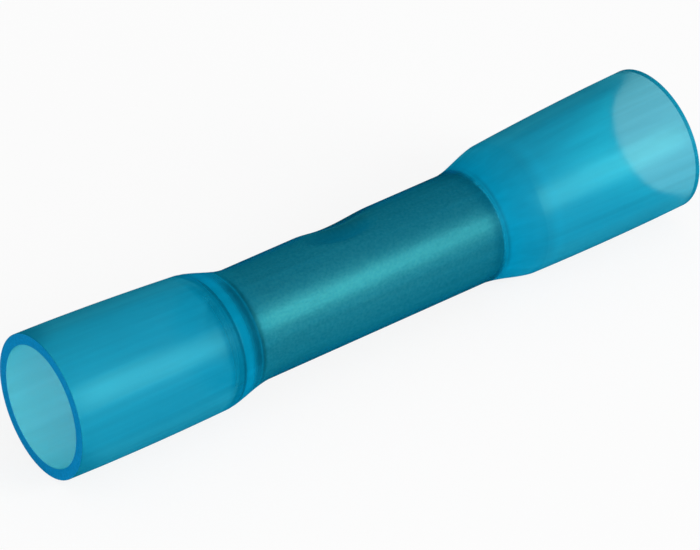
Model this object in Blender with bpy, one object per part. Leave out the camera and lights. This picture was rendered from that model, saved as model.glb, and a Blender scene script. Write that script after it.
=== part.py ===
"""Heat-shrink butt splice connector: a crimp barrel gripped by the neck of a clear insulating sleeve.

Metres, +Z up. X runs along the tube, and the near mouth is the one at -X. The part lies on its
side as it comes to rest, on the two wide ends of the sleeve. The origin is on the surface that it
lies on, under the wire stop at the middle of the barrel.
"""

import math

import bmesh
import bpy
from mathutils import Matrix, Vector

# Sleeve
overall_length = 0.0366
mouth_diameter = 0.0071
mouth_wall = 0.00055
shoulder_lead = 0.001  # the skin's flare starts this far short of the barrel's end
shoulder_run = 0.0026  # length of the steep part of the flare
shoulder_corner = 0.55  # slope where the steep part stops short, beside its mean slope
slow_share = 0.45  # share of the flare that goes on opening as far as the mouth
throat_run = 0.0017  # the bore opens over this length beyond the barrel's end

# Crimp barrel
barrel_length = 0.015
barrel_bore = 0.0023
barrel_wall = 0.00075
barrel_chamfer = 0.00015
lead_in_depth = 0.0005
lead_in_step = 0.00025
seat_gap = 0.0001  # between the barrel and the neck shrunk on to it

# Wire stop, punched into the barrel at its middle
stop_depth = 0.0005
stop_length = 0.0046
stop_spread = math.radians(68)
stop_turn = math.radians(30)  # from straight up, towards +Y
sink_share = 0.5  # how much of the stop's depth shows as a dip in the sleeve

# The sleeve's ends rise a little beyond the barrel, and the near one isn't cut quite square
end_rise = math.radians(2.1)
rise_lead = 0.0015
rise_run = 0.0021
near_cut_slant = math.radians(5.9)
near_cut_turn = math.radians(-61)  # its longest side, from straight up, towards +Y

# Facets around each tube, and rows of them along each stretch
sleeve_facets = 32
barrel_facets = 32
stop_rows = 6
shoulder_rows = 9
throat_rows = 7
flare_rows = 3
smooth_angle = math.radians(35)

# Worked out from the sizes above
half_length = overall_length / 2
half_barrel = barrel_length / 2
half_stop = stop_length / 2
mouth_radius = mouth_diameter / 2
mouth_bore = mouth_radius - mouth_wall
barrel_radius = barrel_bore / 2 + barrel_wall
neck_bore = barrel_radius + seat_gap
wall_section = mouth_radius**2 - mouth_bore**2  # the tube's cut area over pi, which shrinking keeps
flare_start = half_barrel - shoulder_lead
flare_end = flare_start + shoulder_run
throat_end = half_barrel + throat_run
cut_margin = mouth_diameter / 4  # the tube is turned this much too long before its ends are cut


def eased(value):
    """0 to 1 with a level start and finish."""
    value = min(max(value, 0.0), 1.0)
    return value * value * (3 - 2 * value)


def eased_sum(value):
    """The area under eased() from 0 to value."""
    inside = min(max(value, 0.0), 1.0)
    return inside**3 - inside**4 / 2 + max(value - 1.0, 0.0)


def shouldered(value):
    """0 to 1 with a level start, and a finish that still rises at shoulder_corner of the mean slope."""
    value = min(max(value, 0.0), 1.0)
    return value * value * (3 - shoulder_corner - (2 - shoulder_corner) * value)


def opening(x):
    """How open the tube is, from 0 in the neck to 1 at a mouth: a steep shoulder, then a slow flare."""
    along = abs(x) - flare_start
    slow = min(max(along / (half_length - flare_start), 0.0), 1.0)
    return (1 - slow_share) * shouldered(along / shoulder_run) + slow_share * (1 - (1 - slow) ** 2)


def skin_radius(x):
    """The outer radius. The wall thickens where the tube has shrunk, so its cut area stays the same."""
    shrunk_bore = neck_bore + (mouth_bore - neck_bore) * opening(x)
    return math.sqrt(shrunk_bore**2 + wall_section)


def bore_radius(x):
    """The inner radius: tight over the whole barrel, then a throat that opens out to the even wall."""
    freed = eased((abs(x) - half_barrel) / throat_run)
    return neck_bore + (mouth_bore - neck_bore) * opening(x) * freed


def stations(zones):
    """Places along the tube. Each zone is (where it ends, its steps), from the middle out to either side."""
    right, start = [], 0.0
    for end, steps in zones:
        right += [start + (end - start) * step / steps for step in range(1, steps + 1)]
        start = end
    return [-x for x in reversed(right)] + [0.0] + right


def turned(outline, facets):
    """A solid turned about X from a closed outline of (x, radius), with a flat facet underneath."""
    shape = bmesh.new()
    points = [shape.verts.new((x, 0.0, -radius)) for x, radius in outline]
    edges = [shape.edges.new((a, b)) for a, b in zip(points, points[1:] + points[:1])]
    half_facet = Matrix.Rotation(math.pi / facets, 4, "X")
    bmesh.ops.transform(shape, matrix=half_facet, verts=points)
    bmesh.ops.spin(
        shape, geom=points + edges, axis=(1, 0, 0), angle=2 * math.pi, steps=facets, use_merge=True
    )
    bmesh.ops.recalc_face_normals(shape, faces=shape.faces)
    return shape


def cut_end(shape, middle, outward):
    """Cuts a tube off along a plane and closes its wall there with one flat ring."""
    cut = bmesh.ops.bisect_plane(
        shape,
        geom=shape.verts[:] + shape.edges[:] + shape.faces[:],
        plane_co=middle,
        plane_no=outward,
        clear_outer=True,
    )
    rim = [item for item in cut["geom_cut"] if isinstance(item, bmesh.types.BMEdge)]
    bmesh.ops.bridge_loops(shape, edges=rim)


def around(turn):
    """The direction square to the axis that lies this far from straight up, towards +Y."""
    return Vector((0.0, math.sin(turn), math.cos(turn)))


def press_stop(shape, depth):
    """Presses the wire stop's dimple into a tube, through its whole wall."""
    for point in shape.verts:
        spoke = Vector((0.0, point.co.y, point.co.z))
        off_middle = spoke.angle(around(stop_turn)) / (stop_spread / 2)
        reach = min(math.hypot(point.co.x / half_stop, off_middle), 1.0)
        point.co -= spoke.normalized() * depth * (1 + math.cos(math.pi * reach)) / 2


def raise_ends(shape):
    """Bends the tube upwards just beyond each end of the barrel."""
    for point in shape.verts:
        x, y, z = point.co
        side = math.copysign(1.0, x)
        along = (abs(x) - half_barrel + rise_lead) / rise_run
        slope = end_rise * eased(along)
        height = math.tan(end_rise) * rise_run * eased_sum(along)
        point.co = (x - side * z * math.sin(slope), y, height + z * math.cos(slope))


def insulating_sleeve():
    middle = (half_stop, stop_rows)
    wide_end = [(half_length - cut_margin, flare_rows), (half_length + cut_margin, 1)]
    skin = stations([middle, (flare_start, 1), (flare_end, shoulder_rows), *wide_end])
    bore = stations([middle, (flare_start, 1), (half_barrel, 2), (throat_end, throat_rows), *wide_end])
    outline = [(x, skin_radius(x)) for x in skin] + [(x, bore_radius(x)) for x in reversed(bore)]
    shape = turned(outline, sleeve_facets)
    lean = around(near_cut_turn) * math.tan(near_cut_slant)
    cut_end(shape, (-half_length, 0, 0), Vector((-1, 0, 0)) - lean)
    cut_end(shape, (half_length, 0, 0), Vector((1, 0, 0)))
    press_stop(shape, stop_depth * sink_share)
    raise_ends(shape)
    return shape


def crimp_barrel():
    skin = stations([(half_stop, stop_rows), (half_barrel - barrel_chamfer, 1)])
    bore = stations([(half_stop, stop_rows), (half_barrel - lead_in_depth, 1)])
    inner = barrel_bore / 2
    outline = [(-half_barrel, barrel_radius - barrel_chamfer)]
    outline += [(x, barrel_radius) for x in skin]
    outline += [(half_barrel, barrel_radius - barrel_chamfer), (half_barrel, inner + lead_in_step)]
    outline += [(x, inner) for x in reversed(bore)]
    outline += [(-half_barrel, inner + lead_in_step)]
    shape = turned(outline, barrel_facets)
    press_stop(shape, stop_depth)
    return shape


def finish(name, colour, roughness, metallic, transmission):
    """A plain material in the piece's own colour."""
    material = bpy.data.materials.new(name)
    material.use_nodes = True
    shader = material.node_tree.nodes["Principled BSDF"]
    shader.inputs["Base Color"].default_value = (*colour, 1.0)
    shader.inputs["Roughness"].default_value = roughness
    shader.inputs["Metallic"].default_value = metallic
    shader.inputs["Transmission Weight"].default_value = transmission
    return material


def piece(name, shape, material, holder):
    mesh = bpy.data.meshes.new(name)
    shape.to_mesh(mesh)
    shape.free()
    mesh.shade_smooth()
    mesh.set_sharp_from_angle(angle=smooth_angle)
    mesh.materials.append(material)
    made = bpy.data.objects.new(name, mesh)
    made.parent = holder
    bpy.context.collection.objects.link(made)
    return made


def build():
    for old in list(bpy.data.objects):
        bpy.data.objects.remove(old)
    clear_blue = finish("clear_blue_sleeve", (0.0, 0.26, 0.42), 0.35, 0.0, 0.6)
    tin = finish("tin_plated_copper", (0.72, 0.72, 0.70), 0.38, 1.0, 0.0)
    tube_axis = bpy.data.objects.new("tube_axis", None)
    bpy.context.collection.objects.link(tube_axis)
    sleeve = piece("insulating_sleeve", insulating_sleeve(), clear_blue, tube_axis)
    piece("crimp_barrel", crimp_barrel(), tin, tube_axis)
    tube_axis.location.z = -min(vertex.co.z for vertex in sleeve.data.vertices)


build()
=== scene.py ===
"""Looks of a heat-shrink butt splice connector: the clear blue sleeve and the tinned barrel in its neck.

Metres, in the frame's own axes: X along the tube, Z up, the origin on the floor under the wire stop.
"""

import math

import bmesh
import bpy
from mathutils import Matrix, Vector


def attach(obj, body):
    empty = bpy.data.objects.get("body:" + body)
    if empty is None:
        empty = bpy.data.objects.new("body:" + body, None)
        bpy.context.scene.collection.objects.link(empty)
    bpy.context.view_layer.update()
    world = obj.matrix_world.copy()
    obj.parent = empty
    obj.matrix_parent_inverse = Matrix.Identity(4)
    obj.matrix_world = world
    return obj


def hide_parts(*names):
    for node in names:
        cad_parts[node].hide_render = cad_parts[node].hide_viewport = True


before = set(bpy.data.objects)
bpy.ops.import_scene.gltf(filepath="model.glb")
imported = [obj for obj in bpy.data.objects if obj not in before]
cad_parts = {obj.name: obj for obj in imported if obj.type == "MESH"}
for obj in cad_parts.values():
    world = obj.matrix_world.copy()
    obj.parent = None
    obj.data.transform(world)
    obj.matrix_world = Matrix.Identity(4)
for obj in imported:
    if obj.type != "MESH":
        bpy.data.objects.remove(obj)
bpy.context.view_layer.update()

# Sleeve, at the sizes of the frame's own solids
OVERALL_LENGTH = 0.0366
MOUTH_DIAMETER = 0.0071
MOUTH_WALL = 0.00055
SHOULDER_LEAD = 0.001
SHOULDER_RUN = 0.0026
SHOULDER_CORNER = 0.55
SLOW_SHARE = 0.45
THROAT_RUN = 0.0017
END_RISE = math.radians(2.1)
RISE_LEAD = 0.0015
RISE_RUN = 0.0021
NEAR_CUT_SLANT = math.radians(5.9)
NEAR_CUT_TURN = math.radians(-61)

# Crimp barrel and its wire stop, at the same sizes as well
BARREL_LENGTH = 0.015
BARREL_BORE = 0.0023
BARREL_WALL = 0.00075
BARREL_CHAMFER = 0.00015
LEAD_IN_DEPTH = 0.0005
LEAD_IN_STEP = 0.00025
SEAT_GAP = 0.0001
STOP_DEPTH = 0.0005
STOP_LENGTH = 0.0046
STOP_SPREAD = math.radians(68)
STOP_TURN = math.radians(30)  # from straight up, towards +Y
SINK_SHARE = 0.5  # how much of the stop's depth shows in the sleeve's skin

# Details that the solids don't have
WETTING = 0.00002  # the sleeve's bore is this much tighter than the barrel, which leaves no film of air
LIP_RUN = 0.0005  # the bore stays that tight this far beyond the barrel's ends
RIM_ROUNDING = 0.00003
FOLD_PLACE = -0.00902  # a fold line round the near shoulder
FOLD_DEPTH = 0.00002
FOLD_WIDTH = 0.00014

# Facets around each piece, rows of them along each stretch, and marks for the materials
SLEEVE_FACETS = 144
BARREL_FACETS = 96
STOP_ROWS = 20
NECK_ROWS = 6
GRIP_ROWS = 12
SHOULDER_ROWS = 90
SHOULDER_MARGIN = 0.0002  # the close rows of the shoulder go on this far into the flare
THROAT_ROWS = 30
FLARE_ROWS = 24
BARREL_ROWS = 4
RIM_ROWS = 3
SMOOTH_ANGLE = math.radians(40)
CUT_SLOT = 1
BORE_MARK = "bore"
GLUED_MARK = "glued"

# The sleeve's plastic. A haze is how much of the surface is milky, and a share how much of it shines.
BENDING = 1.3
CLEAR_TINT = (0.745, 0.78, 0.70)
BORE_CLEAR = (0.745, 0.85, 0.915)
MILKY_TINT = (0.0, 0.415, 0.70)
# Darker milk for the painted shade bands on the shoulders
PAINTED_SHADE_TINT = (0.0, 0.13, 0.23)
BORE_TINT = (0.03, 0.82, 1.0)
CUT_TINT = (0.0, 0.28, 0.64)
DYE = (0.0, 0.69, 0.855)
DYE_DENSITY = 1700
NECK_HAZE = 0.205
SHOULDER_HAZE = 0.48
THROAT_HAZE = 0.66
END_HAZE = 0.40
BORE_HAZE = 0.55
CUT_HAZE = 0.85
SHEEN_TINT = (0.20, 0.85, 0.76)
SHEEN_SHARE = 0.023
DULL_SHARE = 0.006
SHOULDER_SHARE = 0.012
SHEEN_ROUGHNESS = 0.31
MILKY_ROUGHNESS = 0.6
CUT_ROUGHNESS = 0.45
SATIN = (0.16, 0.24)  # least and greatest roughness of the clear part
GLUE_LEFT = -0.00987  # the hot melt has run out this far under the skin, on either side
GLUE_RIGHT = 0.0091

# Fine marks: the size of a grain, how far it is drawn out along the tube, and how high it stands
DRAW_MARK_SIZE = 0.00030
DRAW_MARK_STRETCH = 60
DRAW_MARK_HEIGHT = 0.000006
FROST_SIZE = 0.00010
FROST_STRETCH = 1.5
FROST_HEIGHT = 0.0000015
SAW_MARK_SIZE = 0.00012
SAW_MARK_HEIGHT = 0.000004
TIN_GRAIN_SIZE = 0.00011
TIN_GRAIN_STRETCH = 1.4
TIN_GRAIN_HEIGHT = 0.000012
PLAIN_DETAIL = 2.0
TIN_DETAIL = 3.0
NOISE_MIDDLE = (0.3, 0.7)  # nearly all of a noise lies between these

# How much darker and lighter the marks make each surface
SKIN_STREAKS = (0.94, 1.06)
BORE_STREAKS = (0.97, 1.03)
CUT_STREAKS = (0.9, 1.1)
TIN_STREAKS = (0.8, 1.2)

# The barrel's plating. Its outside has the warm tone of the glue that wets it.
TIN = (0.72, 0.72, 0.70)
GLUED_TIN = (0.90, 0.62, 0.43)
TIN_ROUGHNESS = (0.41, 0.53)

# Camera, fitted to the outline in the photograph
VIEW_YAW = math.radians(38.85)
VIEW_RISE = math.radians(33.19)
VIEW_DISTANCE = 0.3923
VIEW_LENS = 431.8
SENSOR_WIDTH = 36
NEAREST_SEEN = 0.01
FARTHEST_SEEN = 20
AIM_RIGHT = -0.000162
AIM_UP = 0.00008

# Floor
FLOOR_REACH = 3.0
FLOOR_COLOUR = (0.9, 0.9, 0.9)
FLOOR_ROUGHNESS = 0.9
FLOOR_SPECULAR = 0.1
PLAIN_SHARE = 0.85  # how much of it is plain white to the eye

# Light: an even white room, a tall softbox in front of the tube on its right, and a weak fill on its left
WORLD_LEVEL = 0.55
LAMP_DISTANCE = 0.6
KEY_DIRECTION = (0.459, -0.798, 0.395)
KEY_WIDTH = 0.31
KEY_HEIGHT = 0.36
KEY_RADIANCE = 8.0
FILL_DIRECTION = (-0.65, -0.45, 0.60)
FILL_SIZE = 0.6
FILL_RADIANCE = 0.6

# Worked out from the sizes above
HALF_LENGTH = OVERALL_LENGTH / 2
HALF_BARREL = BARREL_LENGTH / 2
HALF_STOP = STOP_LENGTH / 2
MOUTH_RADIUS = MOUTH_DIAMETER / 2
MOUTH_BORE = MOUTH_RADIUS - MOUTH_WALL
BARREL_RADIUS = BARREL_BORE / 2 + BARREL_WALL
CHAMFERED_RADIUS = BARREL_RADIUS - BARREL_CHAMFER
NECK_BORE = BARREL_RADIUS + SEAT_GAP
TIGHT_BORE = BARREL_RADIUS - WETTING
WALL_SECTION = MOUTH_RADIUS**2 - MOUTH_BORE**2
FLARE_START = HALF_BARREL - SHOULDER_LEAD
FLARE_END = FLARE_START + SHOULDER_RUN
THROAT_END = HALF_BARREL + THROAT_RUN
CUT_MARGIN = MOUTH_DIAMETER / 4

# The skin's haze along the tube. Each level is (its place, its value).
HAZE_LEVELS = [
    (GLUE_LEFT - 0.0001, END_HAZE),
    (GLUE_LEFT + 0.0003, SHOULDER_HAZE),
    (-HALF_BARREL - 0.00025, SHOULDER_HAZE),
    (-HALF_BARREL + 0.00005, NECK_HAZE),
    (HALF_BARREL - 0.0007, NECK_HAZE),
    (HALF_BARREL - 0.0004, THROAT_HAZE),
    (HALF_BARREL + 0.0010, THROAT_HAZE),
    (GLUE_RIGHT + 0.0012, END_HAZE),
]

# How much of the skin's milk takes the painted shade tint: painted dark bands at the near shoulder's glue
# edge, fold and barrel end, broken by a lighter line at the barrel's rim, and a painted darker stretch from
# the far barrel end out past the glue edge there
PAINTED_SHADE_LEVELS = [
    (GLUE_LEFT - 0.0001, 0.0),
    (GLUE_LEFT + 0.0003, 0.45),
    (FOLD_PLACE - 0.00012, 0.45),
    (FOLD_PLACE - 0.00003, 0.75),
    (FOLD_PLACE + 0.00002, 0.75),
    (FOLD_PLACE + 0.00018, 0.12),
    (-HALF_BARREL - 0.0011, 0.12),
    (-HALF_BARREL - 0.0005, 0.95),
    (-HALF_BARREL - 0.00036, 0.95),
    (-HALF_BARREL - 0.00027, 0.6),
    (-HALF_BARREL - 0.00018, 0.9),
    (-HALF_BARREL - 0.00005, 0.9),
    (-HALF_BARREL + 0.00005, 0.0),
    (HALF_BARREL - 0.0006, 0.0),
    (HALF_BARREL - 0.0005, 0.5),
    (HALF_BARREL - 0.00045, 0.5),
    (HALF_BARREL - 0.0004, 0.75),
    (HALF_BARREL - 0.0002, 0.4),
    (GLUE_RIGHT, 0.5),
    (GLUE_RIGHT + 0.0009, 0.0),
]

# How much of the skin shines
SHEEN_LEVELS = [
    (GLUE_LEFT - 0.0001, SHEEN_SHARE),
    (GLUE_LEFT + 0.0001, DULL_SHARE),
    (HALF_BARREL - 0.0001, DULL_SHARE),
    (HALF_BARREL + 0.0004, SHOULDER_SHARE),
    (GLUE_RIGHT - 0.0001, SHOULDER_SHARE),
    (GLUE_RIGHT + 0.0001, SHEEN_SHARE),
]

# Painted shade on the tin: darker in the last stretch at each end of the barrel, and a little darker
# towards the right end
TIN_PAINTED_SHADE_LEVELS = [
    (-HALF_BARREL + 0.0001, 0.4),
    (-HALF_BARREL + 0.0006, 1.0),
    (-0.003, 1.0),
    (HALF_BARREL - 0.0009, 0.84),
    (HALF_BARREL - 0.0003, 0.4),
]

# The painted shade fades where the skin lies less far out from the axis in this direction, so it lies on
# the tube's front and is faint at its top and underside
FRONT_DIRECTION = (0.0, -0.85, 0.53)
FADED_AT = 0.0008
FULL_AT = 0.0027
FADED_SHARE = 0.35


def eased(value):
    """0 to 1 with a level start and finish."""
    value = min(max(value, 0.0), 1.0)
    return value * value * (3 - 2 * value)


def eased_sum(value):
    """The area under eased() from 0 to value."""
    inside = min(max(value, 0.0), 1.0)
    return inside**3 - inside**4 / 2 + max(value - 1.0, 0.0)


def shouldered(value):
    """0 to 1 with a level start, and a finish that still rises at SHOULDER_CORNER of the mean slope."""
    value = min(max(value, 0.0), 1.0)
    return value * value * (3 - SHOULDER_CORNER - (2 - SHOULDER_CORNER) * value)


def opening(x):
    """How open the tube is, from 0 in the neck to 1 at a mouth: a steep shoulder, then a slow flare."""
    along = abs(x) - FLARE_START
    slow = min(max(along / (HALF_LENGTH - FLARE_START), 0.0), 1.0)
    return (1 - SLOW_SHARE) * shouldered(along / SHOULDER_RUN) + SLOW_SHARE * (1 - (1 - slow) ** 2)


def skin_radius(x):
    """The outer radius. The wall thickens where the tube has shrunk, so its cut area stays the same."""
    shrunk_bore = NECK_BORE + (MOUTH_BORE - NECK_BORE) * opening(x)
    fold = FOLD_DEPTH * math.exp(-(((x - FOLD_PLACE) / (FOLD_WIDTH / 2)) ** 2))
    return math.sqrt(shrunk_bore**2 + WALL_SECTION) - fold


def bore_radius(x):
    """The inner radius: stuck to the whole barrel, then a throat that opens out to the even wall."""
    freed = eased((abs(x) - HALF_BARREL - LIP_RUN) / (THROAT_RUN - LIP_RUN))
    opened = NECK_BORE - TIGHT_BORE + (MOUTH_BORE - NECK_BORE) * opening(x)
    return TIGHT_BORE + opened * freed


def stations(zones):
    """Places along the tube, from one side to the other. Each zone is (how far out it ends, its rows)."""
    right, start = [], 0.0
    for end, rows in zones:
        right += [start + (end - start) * row / rows for row in range(1, rows + 1)]
        start = end
    return [-x for x in reversed(right)] + [0.0] + right


def turned(outline, facets):
    """A solid turned about X from a closed outline of (x, radius)."""
    shape = bmesh.new()
    points = [shape.verts.new((x, 0.0, -radius)) for x, radius in outline]
    edges = [shape.edges.new((a, b)) for a, b in zip(points, points[1:] + points[:1])]
    bmesh.ops.spin(
        shape, geom=points + edges, axis=(1, 0, 0), angle=2 * math.pi, steps=facets, use_merge=True
    )
    bmesh.ops.recalc_face_normals(shape, faces=shape.faces)
    return shape


def mark_faces(shape, name, holds):
    """Marks each face for the material: 1 where holds(x, distance from the axis) is true, 0 elsewhere."""
    mark = shape.faces.layers.float.new(name)
    for face in shape.faces:
        x, y, z = face.calc_center_median()
        face[mark] = holds(x, math.hypot(y, z))


def cut_end(shape, middle, outward):
    """Cuts a tube off along a plane, closes its wall with one flat ring and rounds the rims a little."""
    cut = bmesh.ops.bisect_plane(
        shape,
        geom=shape.verts[:] + shape.edges[:] + shape.faces[:],
        plane_co=middle,
        plane_no=outward,
        clear_outer=True,
    )
    rim = [item for item in cut["geom_cut"] if isinstance(item, bmesh.types.BMEdge)]
    ring = bmesh.ops.bridge_loops(shape, edges=rim)["faces"]
    for face in ring:
        face.material_index = CUT_SLOT
    bmesh.ops.bevel(
        shape,
        geom=rim,
        offset=RIM_ROUNDING,
        segments=RIM_ROWS,
        profile=0.5,
        affect="EDGES",
        material=-1,
    )


def around(turn):
    """The direction square to the axis that lies this far from straight up, towards +Y."""
    return Vector((0.0, math.sin(turn), math.cos(turn)))


def press_stop(shape, skin_depth, bore_depth, middle_radius):
    """Presses the wire stop's dimple into a tube, by one depth outside the middle radius and one inside."""
    for point in shape.verts:
        spoke = Vector((0.0, point.co.y, point.co.z))
        depth = skin_depth if spoke.length > middle_radius else bore_depth
        off_middle = spoke.angle(around(STOP_TURN)) / (STOP_SPREAD / 2)
        reach = min(math.hypot(point.co.x / HALF_STOP, off_middle), 1.0)
        point.co -= spoke.normalized() * depth * (1 + math.cos(math.pi * reach)) / 2


def raise_ends(shape):
    """Bends the tube upwards just beyond each end of the barrel."""
    for point in shape.verts:
        x, y, z = point.co
        side = math.copysign(1.0, x)
        along = (abs(x) - HALF_BARREL + RISE_LEAD) / RISE_RUN
        slope = END_RISE * eased(along)
        height = math.tan(END_RISE) * RISE_RUN * eased_sum(along)
        point.co = (x - side * z * math.sin(slope), y, height + z * math.cos(slope))


def sleeve_shape():
    """The shrunk sleeve: turned a little too long, marked, cut at both ends, pressed in and bent up."""
    middle = (HALF_STOP, STOP_ROWS)
    wide_end = [(HALF_LENGTH - CUT_MARGIN, FLARE_ROWS), (HALF_LENGTH + CUT_MARGIN, 1)]
    shoulder = [(FLARE_START, NECK_ROWS), (FLARE_END + SHOULDER_MARGIN, SHOULDER_ROWS)]
    throat = [(HALF_BARREL, GRIP_ROWS), (THROAT_END, THROAT_ROWS)]
    skin = stations([middle, *shoulder, *wide_end])
    bore = stations([middle, *throat, *wide_end])
    outline = [(x, skin_radius(x)) for x in skin] + [(x, bore_radius(x)) for x in reversed(bore)]
    shape = turned(outline, SLEEVE_FACETS)
    mark_faces(shape, BORE_MARK, lambda x, radius: radius < (skin_radius(x) + bore_radius(x)) / 2)
    lean = around(NEAR_CUT_TURN) * math.tan(NEAR_CUT_SLANT)
    cut_end(shape, (-HALF_LENGTH, 0, 0), Vector((-1, 0, 0)) - lean)
    cut_end(shape, (HALF_LENGTH, 0, 0), Vector((1, 0, 0)))
    press_stop(shape, STOP_DEPTH * SINK_SHARE, STOP_DEPTH, NECK_BORE)
    raise_ends(shape)
    return shape


def barrel_shape():
    """The crimp barrel, with chamfered ends, a lead-in in its bore and the wire stop punched in."""
    skin = stations([(HALF_STOP, STOP_ROWS), (HALF_BARREL - BARREL_CHAMFER, BARREL_ROWS)])
    bore = stations([(HALF_STOP, STOP_ROWS), (HALF_BARREL - LEAD_IN_DEPTH, BARREL_ROWS)])
    inner = BARREL_BORE / 2
    outline = [(-HALF_BARREL, CHAMFERED_RADIUS)]
    outline += [(x, BARREL_RADIUS) for x in skin]
    outline += [(HALF_BARREL, CHAMFERED_RADIUS), (HALF_BARREL, inner + LEAD_IN_STEP)]
    outline += [(x, inner) for x in reversed(bore)]
    outline += [(-HALF_BARREL, inner + LEAD_IN_STEP)]
    shape = turned(outline, BARREL_FACETS)
    mark_faces(shape, GLUED_MARK, lambda x, radius: radius > CHAMFERED_RADIUS)
    press_stop(shape, STOP_DEPTH, STOP_DEPTH, BARREL_RADIUS)
    return shape


def piece(name, shape, lift, materials, node):
    """Makes a finished piece of a shape, raises it to its place and hangs it on the frame."""
    bmesh.ops.translate(shape, vec=(0, 0, lift), verts=shape.verts)
    mesh = bpy.data.meshes.new(name)
    shape.to_mesh(mesh)
    shape.free()
    mesh.shade_smooth()
    mesh.set_sharp_from_angle(angle=SMOOTH_ANGLE)
    for material in materials:
        mesh.materials.append(material)
    made = bpy.data.objects.new(name, mesh)
    bpy.context.collection.objects.link(made)
    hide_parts(node)
    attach(made, "root")


class Nodes:
    """A short way to add and join a material's nodes."""

    def __init__(self, material):
        material.use_nodes = True
        self.tree = material.node_tree
        self.shader = self.tree.nodes["Principled BSDF"]
        self.output = self.tree.nodes["Material Output"]

    def add(self, kind, settings=None, **inputs):
        """Adds a node. An input's name has _ for each blank."""
        node = self.tree.nodes.new(kind)
        for name, value in (settings or {}).items():
            setattr(node, name, value)
        for name, value in inputs.items():
            self.feed(node, name.replace("_", " "), value)
        return node

    def feed(self, node, socket, value):
        """Joins another node's output to the socket, or sets a plain value there."""
        if isinstance(value, bpy.types.NodeSocket):
            self.tree.links.new(value, node.inputs[socket])
        else:
            node.inputs[socket].default_value = value


def maths(nodes, operation, first, second):
    """What one operation makes of two numbers."""
    node = nodes.add("ShaderNodeMath", {"operation": operation})
    nodes.feed(node, 0, first)
    nodes.feed(node, 1, second)
    return node.outputs["Value"]


def grain(nodes, size, stretch=1.0, detail=PLAIN_DETAIL):
    """Noise with grains this size, drawn out this many times along the tube."""
    place = nodes.add("ShaderNodeTexCoord").outputs["Object"]
    drawn = nodes.add("ShaderNodeMapping", Vector=place, Scale=(1 / stretch, 1, 1))
    noise = nodes.add("ShaderNodeTexNoise", Vector=drawn.outputs["Vector"], Scale=1 / size, Detail=detail)
    return noise.outputs["Fac"]


def between(nodes, value, span):
    """A noise value spread over a span of (low, high)."""
    low, high = span
    start, end = NOISE_MIDDLE
    spread = nodes.add(
        "ShaderNodeMapRange", Value=value, From_Min=start, From_Max=end, To_Min=low, To_Max=high
    )
    return spread.outputs["Result"]


def step(nodes, value, start, end, low, high):
    """Goes smoothly from low to high while the value goes from start to end."""
    smooth = {"interpolation_type": "SMOOTHSTEP"}
    node = nodes.add(
        "ShaderNodeMapRange", smooth, Value=value, From_Min=start, From_Max=end, To_Min=low, To_Max=high
    )
    return node.outputs["Result"]


def relief(nodes, height, depth, below=None):
    """Raises the surface by up to this depth where the height is 1, on top of an earlier relief."""
    bump = nodes.add("ShaderNodeBump", Height=height, Distance=depth)
    if below is not None:
        nodes.feed(bump, "Normal", below)
    return bump.outputs["Normal"]


def shaded(nodes, colour, value):
    """A colour made darker or lighter by a value near 1."""
    scale = nodes.add("ShaderNodeVectorMath", {"operation": "SCALE"}, Scale=value)
    nodes.feed(scale, 0, colour)
    return scale.outputs["Vector"]


def along_tube(nodes, levels):
    """A value that goes smoothly from level to level along the tube."""
    place = nodes.add("ShaderNodeTexCoord").outputs["Object"]
    along = nodes.add("ShaderNodeSeparateXYZ", Vector=place).outputs["X"]
    value = levels[0][1]
    for (start, before), (end, after) in zip(levels, levels[1:]):
        if after != before:
            change = step(nodes, along, start, end, 0.0, after - before)
            value = maths(nodes, "ADD", value, change)
    return value


def painted_shade_front(nodes, axis_height):
    """How much of the painted shade shows: 1 on the front of the tube, falling to a share of that at its
    top and underside.
    """
    place = nodes.add("ShaderNodeTexCoord").outputs["Object"]
    front = nodes.add("ShaderNodeVectorMath", {"operation": "DOT_PRODUCT"})
    nodes.feed(front, 0, place)
    nodes.feed(front, 1, FRONT_DIRECTION)
    middle = FRONT_DIRECTION[2] * axis_height
    return step(nodes, front.outputs["Value"], middle + FADED_AT, middle + FULL_AT, FADED_SHARE, 1.0)


def chosen(nodes, share, first, second):
    """The first number where the share is 0, and the second where it is 1."""
    mix = nodes.add("ShaderNodeMix", {"data_type": "FLOAT"})
    for socket, value in ((0, share), (2, first), (3, second)):
        nodes.feed(mix, socket, value)
    return mix.outputs[0]


def tinted(nodes, share, first, second):
    """The first colour where the share is 0, and the second where it is 1."""
    mix = nodes.add("ShaderNodeMix", {"data_type": "RGBA"})
    nodes.feed(mix, 0, share)
    for socket, colour in ((6, first), (7, second)):
        nodes.feed(mix, socket, (*colour, 1) if isinstance(colour, tuple) else colour)
    return mix.outputs[2]


def blend(nodes, share, first, second):
    """The first shader where the share is 0, and the second where it is 1."""
    mix = nodes.add("ShaderNodeMixShader")
    for socket, value in enumerate((share, first, second)):
        nodes.feed(mix, socket, value)
    return mix.outputs["Shader"]


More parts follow.
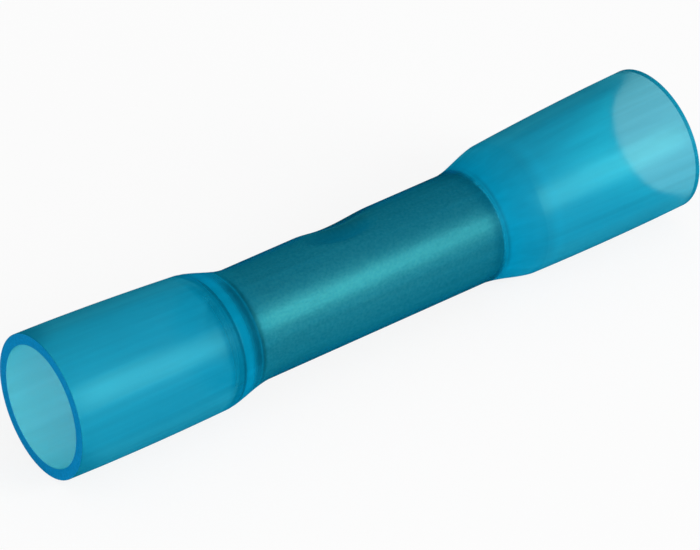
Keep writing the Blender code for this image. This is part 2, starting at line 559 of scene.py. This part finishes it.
def dyed_plastic(nodes, clear_tint, milk, marks, roughness, surface, haze, shine):
    """Clear polyolefin: dyed all through, a little milky, with a thin sheen that takes on its blue.

    Light bends as it goes into the wall. What meets the far side at a slant is thrown back there.
    """
    finish = {"Roughness": roughness, "Normal": surface}
    inner_side = nodes.add("ShaderNodeNewGeometry").outputs["Backfacing"]
    entering = shaded(nodes, clear_tint, marks)
    leaving = shaded(nodes, CLEAR_TINT, marks)
    going_in = nodes.add("ShaderNodeBsdfRefraction", Color=entering, IOR=BENDING, **finish)
    coming_out = nodes.add("ShaderNodeBsdfGlass", Color=leaving, IOR=BENDING, **finish)
    clear = blend(nodes, inner_side, going_in.outputs["BSDF"], coming_out.outputs["BSDF"])
    milky = nodes.shader
    nodes.feed(milky, "Base Color", shaded(nodes, milk, marks))
    nodes.feed(milky, "Normal", surface)
    nodes.feed(milky, "Roughness", MILKY_ROUGHNESS)
    nodes.feed(milky, "Specular IOR Level", 0.0)
    sheen = nodes.add(
        "ShaderNodeBsdfAnisotropic", Color=(*SHEEN_TINT, 1), Roughness=SHEEN_ROUGHNESS, Normal=surface
    )
    body = blend(nodes, chosen(nodes, inner_side, haze, 0.0), clear, milky.outputs["BSDF"])
    nodes.feed(nodes.output, "Surface", blend(nodes, shine, body, sheen.outputs["BSDF"]))
    depth = nodes.add("ShaderNodeVolumeAbsorption", Color=(*DYE, 1), Density=DYE_DENSITY)
    nodes.feed(nodes.output, "Volume", depth.outputs["Volume"])


def clear_blue_sleeve(axis_height):
    """The sleeve's skin and bore, with lengthwise draw marks and a satin frost."""
    material = bpy.data.materials.new("clear_blue_sleeve")
    nodes = Nodes(material)
    marks = grain(nodes, DRAW_MARK_SIZE, DRAW_MARK_STRETCH)
    frost = grain(nodes, FROST_SIZE, FROST_STRETCH)
    surface = relief(nodes, frost, FROST_HEIGHT, relief(nodes, marks, DRAW_MARK_HEIGHT))
    bore = nodes.add("ShaderNodeAttribute", {"attribute_name": BORE_MARK}).outputs["Fac"]
    haze = chosen(nodes, bore, along_tube(nodes, HAZE_LEVELS), BORE_HAZE)
    streaks = chosen(
        nodes, bore, between(nodes, marks, SKIN_STREAKS), between(nodes, marks, BORE_STREAKS)
    )
    # Painted shade in the skin's milk: dark bands along the shoulders, strongest on the tube's front
    painted_shade = maths(nodes, "MULTIPLY", along_tube(nodes, PAINTED_SHADE_LEVELS), painted_shade_front(nodes, axis_height))
    milk = tinted(nodes, bore, tinted(nodes, painted_shade, MILKY_TINT, PAINTED_SHADE_TINT), BORE_TINT)
    clear_tint = tinted(nodes, bore, CLEAR_TINT, BORE_CLEAR)
    satin = between(nodes, frost, SATIN)
    shine = along_tube(nodes, SHEEN_LEVELS)
    dyed_plastic(nodes, clear_tint, milk, streaks, satin, surface, haze, shine)
    return material


def cut_face():
    """The sawn ends of the sleeve: the same plastic in a rough face that light doesn't pass so freely."""
    material = bpy.data.materials.new("clear_blue_cut")
    nodes = Nodes(material)
    saw = grain(nodes, SAW_MARK_SIZE)
    surface = relief(nodes, saw, SAW_MARK_HEIGHT)
    streaks = between(nodes, saw, CUT_STREAKS)
    dyed_plastic(
        nodes, CLEAR_TINT, CUT_TINT, streaks, CUT_ROUGHNESS, surface, CUT_HAZE, SHEEN_SHARE
    )
    return material


def tin_plate():
    """Dull tin plate with a fine grain, and painted shade that darkens both ends of the barrel."""
    material = bpy.data.materials.new("tin_plated_copper")
    nodes = Nodes(material)
    shader = nodes.shader
    fine = grain(nodes, TIN_GRAIN_SIZE, TIN_GRAIN_STRETCH, TIN_DETAIL)
    # The tin's shade is its grain's tone times the painted shade at the barrel's ends
    shade = maths(nodes, "MULTIPLY", between(nodes, fine, TIN_STREAKS), along_tube(nodes, TIN_PAINTED_SHADE_LEVELS))
    glued = nodes.add("ShaderNodeAttribute", {"attribute_name": GLUED_MARK}).outputs["Fac"]
    nodes.feed(shader, "Base Color", shaded(nodes, tinted(nodes, glued, TIN, GLUED_TIN), shade))
    nodes.feed(shader, "Roughness", between(nodes, fine, TIN_ROUGHNESS))
    nodes.feed(shader, "Normal", relief(nodes, fine, TIN_GRAIN_HEIGHT))
    nodes.feed(shader, "Metallic", 1.0)
    return material


def floor_finish():
    """Pale floor. To the eye, and in what shines or is seen through, it is mostly plain white."""
    material = bpy.data.materials.new("pale_floor")
    nodes = Nodes(material)
    nodes.feed(nodes.shader, "Base Color", (*FLOOR_COLOUR, 1))
    nodes.feed(nodes.shader, "Roughness", FLOOR_ROUGHNESS)
    nodes.feed(nodes.shader, "Specular IOR Level", FLOOR_SPECULAR)
    path = nodes.add("ShaderNodeLightPath")
    seen = 0.0
    for ray in ("Camera", "Glossy", "Transmission"):
        seen = maths(nodes, "MAXIMUM", seen, path.outputs[f"Is {ray} Ray"])
    share = maths(nodes, "MULTIPLY", seen, PLAIN_SHARE)
    white = nodes.add("ShaderNodeEmission")
    mixed = blend(nodes, share, nodes.shader.outputs["BSDF"], white.outputs["Emission"])
    nodes.feed(nodes.output, "Surface", mixed)
    return material


def make_floor():
    """A level floor under the part, hung on no body of the object."""
    shape = bmesh.new()
    bmesh.ops.create_grid(shape, x_segments=1, y_segments=1, size=FLOOR_REACH)
    mesh = bpy.data.meshes.new("floor")
    shape.to_mesh(mesh)
    shape.free()
    mesh.materials.append(floor_finish())
    floor = bpy.data.objects.new("floor", mesh)
    bpy.context.collection.objects.link(floor)


def softbox(name, direction, width, height, radiance):
    """A rectangular lamp that stands upright round the object and faces it."""
    towards = Vector(direction).normalized()
    data = bpy.data.lights.new(name, "AREA")
    data.shape = "RECTANGLE"
    data.size = width
    data.size_y = height
    data.energy = radiance * math.pi * width * height
    lamp = bpy.data.objects.new(name, data)
    lamp.location = towards * LAMP_DISTANCE
    lamp.rotation_mode = "QUATERNION"
    lamp.rotation_quaternion = (-towards).to_track_quat("-Z", "Y")
    bpy.context.collection.objects.link(lamp)


def studio():
    """The white room and its two lamps."""
    world = bpy.data.worlds.new("studio")
    bpy.context.scene.world = world
    world.use_nodes = True
    background = world.node_tree.nodes["Background"]
    background.inputs["Color"].default_value = (1, 1, 1, 1)
    background.inputs["Strength"].default_value = WORLD_LEVEL
    softbox("tall_softbox", KEY_DIRECTION, KEY_WIDTH, KEY_HEIGHT, KEY_RADIANCE)
    softbox("side_fill", FILL_DIRECTION, FILL_SIZE, FILL_SIZE, FILL_RADIANCE)


def view_directions():
    """The camera's right, its up, and the way back from the part to the camera."""
    level = math.cos(VIEW_RISE)
    back = Vector((-math.sin(VIEW_YAW) * level, -math.cos(VIEW_YAW) * level, math.sin(VIEW_RISE)))
    right = Vector((math.cos(VIEW_YAW), -math.sin(VIEW_YAW), 0.0))
    return right, back.cross(right), back


def make_camera(axis_height):
    """The camera of the photograph, aimed at the tube's axis."""
    right, up, back = view_directions()
    data = bpy.data.cameras.new("camera")
    data.lens = VIEW_LENS
    data.sensor_width = SENSOR_WIDTH
    data.clip_start = NEAREST_SEEN
    data.clip_end = FARTHEST_SEEN
    camera = bpy.data.objects.new("camera", data)
    aim = Vector((0, 0, axis_height)) + right * AIM_RIGHT + up * AIM_UP
    turn = Matrix((right, up, back)).transposed().to_4x4()
    camera.matrix_world = Matrix.Translation(aim + back * VIEW_DISTANCE) @ turn
    bpy.context.collection.objects.link(camera)
    bpy.context.scene.camera = camera


sleeve = sleeve_shape()
axis_height = -min(point.co.z for point in sleeve.verts)
finishes = [clear_blue_sleeve(axis_height), cut_face()]
piece("sleeve_skin", sleeve, axis_height, finishes, "insulating_sleeve")
piece("barrel_tube", barrel_shape(), axis_height, [tin_plate()], "crimp_barrel")
make_floor()
studio()
make_camera(axis_height)
bpy.context.scene.view_settings.view_transform = "Standard"
